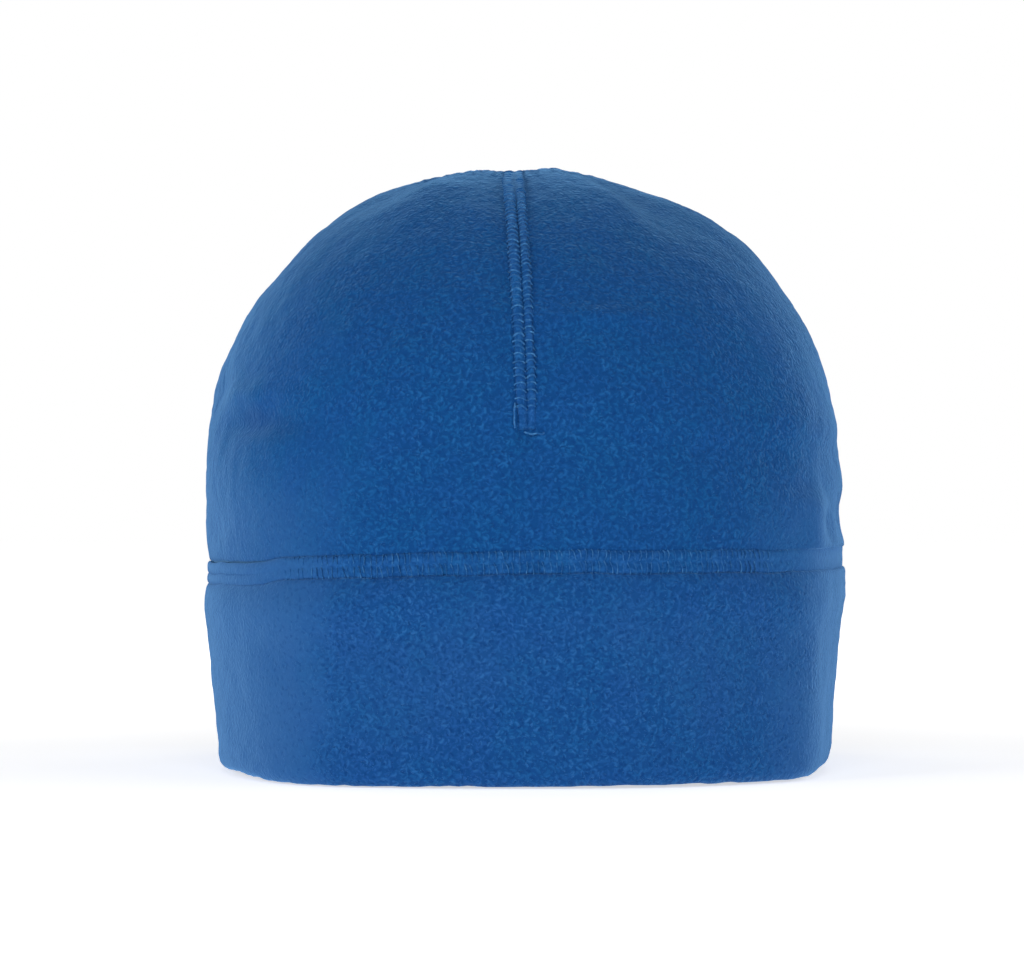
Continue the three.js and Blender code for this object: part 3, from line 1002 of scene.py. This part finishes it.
def ranged(tree, value, *limits):
    """Maps a value smoothly from one range to another: low, high, and what they become."""
    sockets = ("Value", "From Min", "From Max", "To Min", "To Max")
    inputs = zip(sockets, (value, *limits))
    return put(tree, "ShaderNodeMapRange", inputs, interpolation_type="SMOOTHSTEP").outputs[0]


def mixed(tree, share, *colours):
    first, second = ((*c, 1.0) if isinstance(c, tuple) else c for c in colours)
    inputs = {"Factor": share, 6: first, 7: second}
    return put(tree, "ShaderNodeMix", inputs, data_type="RGBA").outputs[2]


# %% One layer of curls
CURL_BEND = 1500.0


def curl_layer():
    tree, into, out = new_group("curl_layer", ["Vector", "Normal"],
                                ["Density", "Half Width", "Half Length"], ["Curl", "Height"])
    cells = put(tree, "ShaderNodeTexVoronoi", {"Vector": into["Vector"], "Scale": into["Density"]})
    colour = cells.outputs["Color"]
    away = vectors(tree, "SUBTRACT", into["Vector"], cells.outputs["Position"])
    chance = vectors(tree, "MULTIPLY_ADD", colour, (2.0, 2.0, 2.0), (-1.0, -1.0, -1.0))
    lengthwise = vectors(tree, "CROSS_PRODUCT", into["Normal"], chance)
    lengthwise = vectors(tree, "NORMALIZE", lengthwise)
    sideways = vectors(tree, "CROSS_PRODUCT", into["Normal"], lengthwise)
    along = vectors(tree, "DOT_PRODUCT", away, lengthwise)
    side = vectors(tree, "DOT_PRODUCT", away, sideways)
    chances = put(tree, "ShaderNodeSeparateColor", {0: colour}).outputs
    bend = times(tree, maths(tree, "SUBTRACT", chances[0], 0.5), CURL_BEND)
    bent = maths(tree, "SUBTRACT", side, times(tree, bend, maths(tree, "POWER", along, 2.0)))
    across = maths(tree, "DIVIDE", maths(tree, "ABSOLUTE", bent), into["Half Width"])
    reach = maths(tree, "DIVIDE", maths(tree, "ABSOLUTE", along), into["Half Length"])
    ends = ranged(tree, reach, 0.35, 1.0, 1.0, 0.0)
    strength = maths(tree, "MULTIPLY_ADD", chances[1], 0.65, 0.35)
    back = times(tree, times(tree, ranged(tree, across, 0.0, 1.4, 1.0, 0.0), ends), strength)
    give(tree, out, {"Curl": back, "Height": maths(tree, "POWER", back, 0.8)})
    return tree


curls = curl_layer()
print("curl layer nodes:", len(curls.nodes))

# %% Fleece pile
CURL_LAYERS = (
    # shift, density, half width, half length, share of the full height
    ((0.0, 0.0, 0.0), 390.0, 0.00050, 0.00125, 1.0),
    ((0.31, 0.17, 0.53), 480.0, 0.00043, 0.00105, 0.85),
    ((0.71, 0.43, 0.29), 640.0, 0.00033, 0.00082, 0.7),
)
PIT_LAYER = ((0.53, 0.61, 0.11), 470.0, 0.00042, 0.00085)
PILE_WARP = (0.0007, 0.0007, 0.0007)


def fleece_pile():
    tree, into, out = new_group("fleece_pile", ["Vector", "Normal"], [],
                                ["Curl", "Height", "Tuft", "Drift", "Fibre", "Pit"])
    vector = into["Vector"]
    warp = noise_at(tree, vector, 900.0, 1.0)["Color"]
    bent = vectors(tree, "MULTIPLY_ADD", warp, PILE_WARP, vector)

    def layer(shift, density, half_width, half_length):
        inputs = {"Vector": vectors(tree, "ADD", bent, shift), "Normal": into["Normal"],
                  "Density": density, "Half Width": half_width, "Half Length": half_length}
        made = put(tree, "ShaderNodeGroup", node_tree=curls)
        return give(tree, made, inputs).outputs

    curl = height = 0.0
    for *measures, share in CURL_LAYERS:
        made = layer(*measures)
        curl = maths(tree, "MAXIMUM", curl, times(tree, made["Curl"], share))
        height = maths(tree, "MAXIMUM", height, times(tree, made["Height"], share))
    shaded_pit = layer(*PIT_LAYER)
    fibres = noise_at(tree, vector, 2400.0, 2.0, 0.6)["Fac"]
    tufts = noise_at(tree, vector, 300.0)["Fac"]
    drift = noise_at(tree, vector, 38.0, 3.0, 0.55)["Fac"]
    height = maths(tree, "ADD", height, times(tree, fibres, 0.2))
    height = maths(tree, "SUBTRACT", height, times(tree, shaded_pit["Height"], 0.5))
    height = maths(tree, "ADD", height, times(tree, tufts, 0.9))
    give(tree, out, {"Curl": curl, "Height": height, "Tuft": tufts, "Drift": drift,
                     "Fibre": fibres, "Pit": shaded_pit["Curl"]})
    return tree


pile = fleece_pile()
print("fleece pile nodes:", len(pile.nodes))

# %% [markdown]
# ## Rubbed cloth and painted sheen
#
# The pile is rubbed flatter on the sides and over the top, where a hat is handled. The sides, the
# seams over the top and the middle of the cuff are also coloured paler, as painted sheen. Both are
# masks, smooth ranges of the place on the hat whose edges wander with a slow noise. The seams' bands
# are pressed by their thread, so they show less pile; their grooves are darkened as painted shade.

# %% Where the cloth is rubbed, and where painted sheen pales it
WANDER = 0.014
RUBBED_CENTRE, PAINTED_SHEEN_CENTRE = 0.011, 0.0075
RUBBED = (0.046, 0.074, 1.0, 0.5)
RUBBED_TOP = (0.128, 0.154, 1.0, 0.75)
# The painted sheen: how far aside, how deep, over the crest, its fade above a height, and round the
# cuff's middle.
PAINTED_SHEEN_ASIDE = (0.043, 0.084)
PAINTED_SHEEN_DEPTH = (0.0, 0.03, 0.4)
PAINTED_SHEEN_CREST = (0.122, 0.156, 0.0)
PAINTED_SHEEN_FADE = 0.02
WAIST, WAIST_HALF = 0.028, 0.018


def away_from(tree, place, middle):
    return maths(tree, "ABSOLUTE", maths(tree, "SUBTRACT", place, middle))


def standing_pile(tree, axes, wander):
    """1 where the pile stands up, and less on the flanks and over the top."""
    aside = maths(tree, "ADD", away_from(tree, axes["X"], RUBBED_CENTRE), wander)
    up = maths(tree, "ADD", axes["Z"], wander)
    return maths(tree, "MINIMUM", ranged(tree, aside, *RUBBED), ranged(tree, up, *RUBBED_TOP))


def painted_sheen_mask(tree, axes, wander, sides, sides_up_to, top, waist):
    """How much painted sheen pales the cloth: its sides up to a height, its top, and the cuff's
    middle.
    """
    aside = away_from(tree, axes["X"], PAINTED_SHEEN_CENTRE)
    aside = maths(tree, "ADD", aside, times(tree, wander, 0.4))
    beside = ranged(tree, maths(tree, "ABSOLUTE", axes["Y"]), *PAINTED_SHEEN_DEPTH, sides)
    corner = times(tree, ranged(tree, aside, *PAINTED_SHEEN_ASIDE), beside)
    low = ranged(tree, axes["Z"], sides_up_to, sides_up_to + PAINTED_SHEEN_FADE, 1.0, 0.0)
    pale = maths(tree, "MAXIMUM", times(tree, corner, low), ranged(tree, axes["Z"], *PAINTED_SHEEN_CREST, top))
    from_waist = maths(tree, "ADD", away_from(tree, axes["Z"], WAIST), wander)
    return maths(tree, "MAXIMUM", pale, ranged(tree, from_waist, 0.0, WAIST_HALF, waist, 0.0))


print("the sides are pale past mm:", round(PAINTED_SHEEN_ASIDE[0] / MM))

# %% Fleece
FLEECE = {
    # gap_shade and shaded_pit are painted shade, and curl is partly painted highlight.
    "gap_shade": (0.0030, 0.058, 0.222),
    "middle": (0.0052, 0.078, 0.273),
    "curl": (0.0125, 0.114, 0.348),
    "fibre": (0.026, 0.150, 0.392),
    "teal": (0.0036, 0.088, 0.266),
    "violet": (0.0082, 0.071, 0.282),
    "painted_sheen": (0.0250, 0.106, 0.298),
    "shaded_pit": (0.0018, 0.040, 0.176),
}
PILE_COLOURS = ("gap_shade", "middle", "curl", "fibre", "teal", "violet")
SHEEN = {"Sheen Weight": 0.68, "Sheen Roughness": 0.4, "Sheen Tint": (0.215, 0.53, 0.95, 1)}
PIT_SHADE_SHARE, HUE_SHARE = 0.6, 0.42


def new_material(name):
    """A new material, with its tree, its shader and the place on the object."""
    material = bpy.data.materials.new(name)
    material.use_nodes = True
    tree = material.node_tree
    place = put(tree, "ShaderNodeTexCoord").outputs["Object"]
    return material, tree, tree.nodes["Principled BSDF"], place


def finish_cloth(tree, shader, colour, height, relief, roughness, specular):
    """Gives a shader its colour, its relief in mm and the sheen of cloth."""
    bump = put(tree, "ShaderNodeBump", {"Strength": 1.0, "Distance": relief * MM, "Height": height})
    give(tree, shader, {"Base Color": colour, "Normal": bump.outputs["Normal"],
                        "Roughness": roughness, "Specular IOR Level": specular, **SHEEN})


def fleece(name, relief, curl_share, tone, sheen_paint_shares, groove_shading=None):
    """tone scales the colours, curl_share is how bright the curls are, sheen_paint_shares go to
    painted_sheen_mask, and groove_shading is where a groove starts to darken with painted shade and
    how dark it gets."""
    material, tree, shader, place = new_material(name)
    normal = put(tree, "ShaderNodeNewGeometry").outputs["Normal"]
    group = put(tree, "ShaderNodeGroup", node_tree=pile)
    seen = give(tree, group, {"Vector": place, "Normal": normal}).outputs
    axes = put(tree, "ShaderNodeSeparateXYZ", {0: place}).outputs
    wander = ranged(tree, seen["Drift"], 0.3, 0.7, -WANDER, WANDER)
    standing = standing_pile(tree, axes, wander)
    gap_shade, middle, curl, fibre, teal, violet = (
        tuple(value * factor for value, factor in zip(FLEECE[key], tone)) for key in PILE_COLOURS
    )
    hue = noise_at(tree, place, 90.0)["Fac"]
    hued = mixed(tree, ranged(tree, hue, 0.35, 0.65), teal, violet)
    plain = mixed(tree, HUE_SHARE, middle, hued)
    # Painted shade: away from the curls the colour darkens towards the gap colour.
    ground = mixed(tree, ranged(tree, seen["Curl"], 0.0, 0.4), gap_shade, plain)
    ground = mixed(tree, standing, plain, ground)
    lit = times(tree, times(tree, ranged(tree, seen["Curl"], 0.35, 1.0), curl_share), standing)
    lit = times(tree, lit, ranged(tree, seen["Drift"], 0.3, 0.7, 0.7, 1.3))
    # Painted highlight: the backs of the curls are coloured lighter.
    colour = mixed(tree, lit, ground, curl)
    colour = mixed(tree, ranged(tree, seen["Tuft"], 0.3, 0.7, 0.0, 0.2), colour, gap_shade)
    loose = times(tree, ranged(tree, seen["Fibre"], 0.62, 0.76), 0.5)
    colour = mixed(tree, loose, colour, fibre)
    # Painted sheen: the cloth is mixed towards a paler blue on its sides, its top and the cuff's
    # middle.
    colour = mixed(tree, painted_sheen_mask(tree, axes, wander, *sheen_paint_shares), colour, FLEECE["painted_sheen"])
    # Painted shade in the pits of the pile.
    pit_shading = times(tree, times(tree, ranged(tree, seen["Pit"], 0.1, 0.7), PIT_SHADE_SHARE), curl_share)
    colour = mixed(tree, times(tree, pit_shading, standing), colour, FLEECE["shaded_pit"])
    # Painted shade in the grooves and creases, read from the groove attribute.
    if groove_shading:
        groove = put(tree, "ShaderNodeAttribute", attribute_name="groove").outputs["Fac"]
        start, share = groove_shading
        colour = mixed(tree, ranged(tree, groove, start, 1.0, 0.0, share), colour, FLEECE["shaded_pit"])
    height = times(tree, seen["Height"], standing)
    finish_cloth(tree, shader, colour, height, relief, 0.95, 0.1)
    return material


def dress(obj, material):
    obj.data.materials.clear()
    obj.data.materials.append(material)


# The crown, the cuff and the seams are one cloth, and their tones differ as painted light: the
# crown's is darker, as painted shade, and the cuff's and the seams' are redder and paler, as painted
# sheen.
CROWN_TONE, CUFF_TONE, SEAM_TONE = (0.85, 0.92, 0.92), (1.45, 1.0, 0.98), (1.9, 1.16, 1.08)
dress(crown, fleece("crown_fleece", 0.18, 1.0, CROWN_TONE, (0.6, 0.066, 0.0, 0.0), (0.0, 0.75)))
dress(cuff, fleece("cuff_fleece", 0.18, 1.0, CUFF_TONE, (0.95, 1.0, 0.0, 0.13)))
pressed_fleece = fleece("pressed_fleece", 0.12, 0.7, SEAM_TONE, (0.9, 1.0, 0.7, 0.0), (0.4, 0.5))
for piece in (cuff_seam, *bands):
    dress(piece, pressed_fleece)
print("fleece colours:", list(FLEECE))

# %% Thread


def thread(name, dark, light, relief):
    material, tree, shader, place = new_material(name)
    strands = noise_at(tree, place, 1500.0, 3.0)["Fac"]
    drift = noise_at(tree, place, 520.0)["Fac"]
    tone = times(tree, ranged(tree, strands, 0.3, 0.7), ranged(tree, drift, 0.4, 0.65))
    finish_cloth(tree, shader, mixed(tree, tone, dark, light), strands, relief, 0.75, 0.15)
    return material


# The thread's light colour is pale and greyish as painted sheen, which also lifts the stitched rows
# against the shade between the stitches.
stitch_thread = thread("stitch_thread", (0.008, 0.090, 0.290), (0.060, 0.235, 0.510), 0.1)
for piece in threads:
    dress(piece, stitch_thread)
print("thread on:", len(threads), "rows")

# %% [markdown]
# ## Floor and light
#
# The hat stands on a plain pale floor in a white room. Nine wide, soft lamps stand round it, most
# of them low and towards its sides, which are brighter than its front. The camera sees the white
# room, but the room lights nothing. The lamps shape the cloth, with the floor's painted glow from
# below, which stands in for the light that the floor bounces.

# %% Floor
# FLOOR_BOUNCE is how much the paper glows onto the hat, a painted glow for the light that the floor
# bounces.
FLOOR_RADIUS, FLOOR_BOUNCE = 8, 0.58
WHITE = (1, 1, 1, 1)


def floor_paper():
    """White paper that looks evenly lit to the camera, and glows a little onto the hat, a painted
    glow for the light that a floor bounces.
    """
    material, tree, paper, place = new_material("floor_paper")
    glowing = put(tree, "ShaderNodeBsdfPrincipled")
    glow = ranged(tree, vectors(tree, "LENGTH", place), 0.12, 0.6, 0.6, 1.0)
    for shader, strength in ((paper, FLOOR_BOUNCE), (glowing, glow)):
        give(tree, shader, {"Base Color": (0.85, 0.85, 0.85, 1), "Roughness": 0.9,
                            "Specular IOR Level": 0.0, "Emission Color": WHITE,
                            "Emission Strength": strength})
    choose_for_camera(tree, paper, glowing, tree.nodes["Material Output"])
    return material


def choose_for_camera(tree, for_hat, for_camera, output):
    """Shows one shader to the camera, and lets the other light the hat."""
    seen = put(tree, "ShaderNodeLightPath").outputs["Is Camera Ray"]
    inputs = {0: seen, 1: for_hat.outputs[0], 2: for_camera.outputs[0]}
    give(tree, output, {"Surface": put(tree, "ShaderNodeMixShader", inputs).outputs[0]})


floor = added(bpy.ops.mesh.primitive_circle_add, "floor", vertices=96, radius=FLOOR_RADIUS,
              fill_type="NGON")
floor.location = (0, 0, -0.0002)
dress(floor, floor_paper())
print("floor radius, m:", FLOOR_RADIUS)

# %% Lights
LAMPS = {
    # place, width and height, power
    "lamp_left": ((-1.5, -0.25, 0.55), (1.0, 1.2), 4.2),
    "lamp_right": ((1.5, -0.25, 0.55), (1.0, 1.2), 7.0),
    "lamp_front_left": ((-1.2, -1.1, 0.35), (0.6, 0.6), 9.8),
    "lamp_front_right": ((1.2, -1.1, 0.35), (0.6, 0.6), 4.1),
    "lamp_front": ((0.0, -1.7, 0.3), (1.2, 0.5), 2.1),
    "lamp_front_high": ((0.0, -1.6, 1.0), (0.8, 0.5), 5.8),
    "lamp_top": ((0.0, 0.0, 1.7), (1.4, 1.4), 3.8),
    "lamp_back_left": ((-1.1, 1.2, 0.4), (0.8, 0.8), 5),
    "lamp_back_right": ((1.1, 1.2, 0.4), (0.8, 0.8), 5),
}
LAMPS_AIM = Vector((0, 0, 0.08))

for name, (stand, size, power) in LAMPS.items():
    data = bpy.data.lights.new(name, "AREA")
    data.shape = "RECTANGLE"
    data.size, data.size_y = size
    data.energy = power
    lamp = bpy.data.objects.new(name, data)
    bpy.context.scene.collection.objects.link(lamp)
    lamp.location = stand
    lamp.rotation_euler = (LAMPS_AIM - Vector(stand)).to_track_quat("-Z", "Y").to_euler()

world = bpy.data.worlds.new("white_room")
bpy.context.scene.world = world
world.use_nodes = True
tree = world.node_tree
tree.nodes.clear()
to_camera, to_hat = (
    put(tree, "ShaderNodeBackground", {"Color": WHITE, "Strength": glow}) for glow in (1.0, 0.0)
)
choose_for_camera(tree, to_hat, to_camera, put(tree, "ShaderNodeOutputWorld"))
bpy.context.scene.view_settings.view_transform = "Standard"
bpy.context.scene.view_settings.look = "None"
print("lamps:", list(LAMPS))
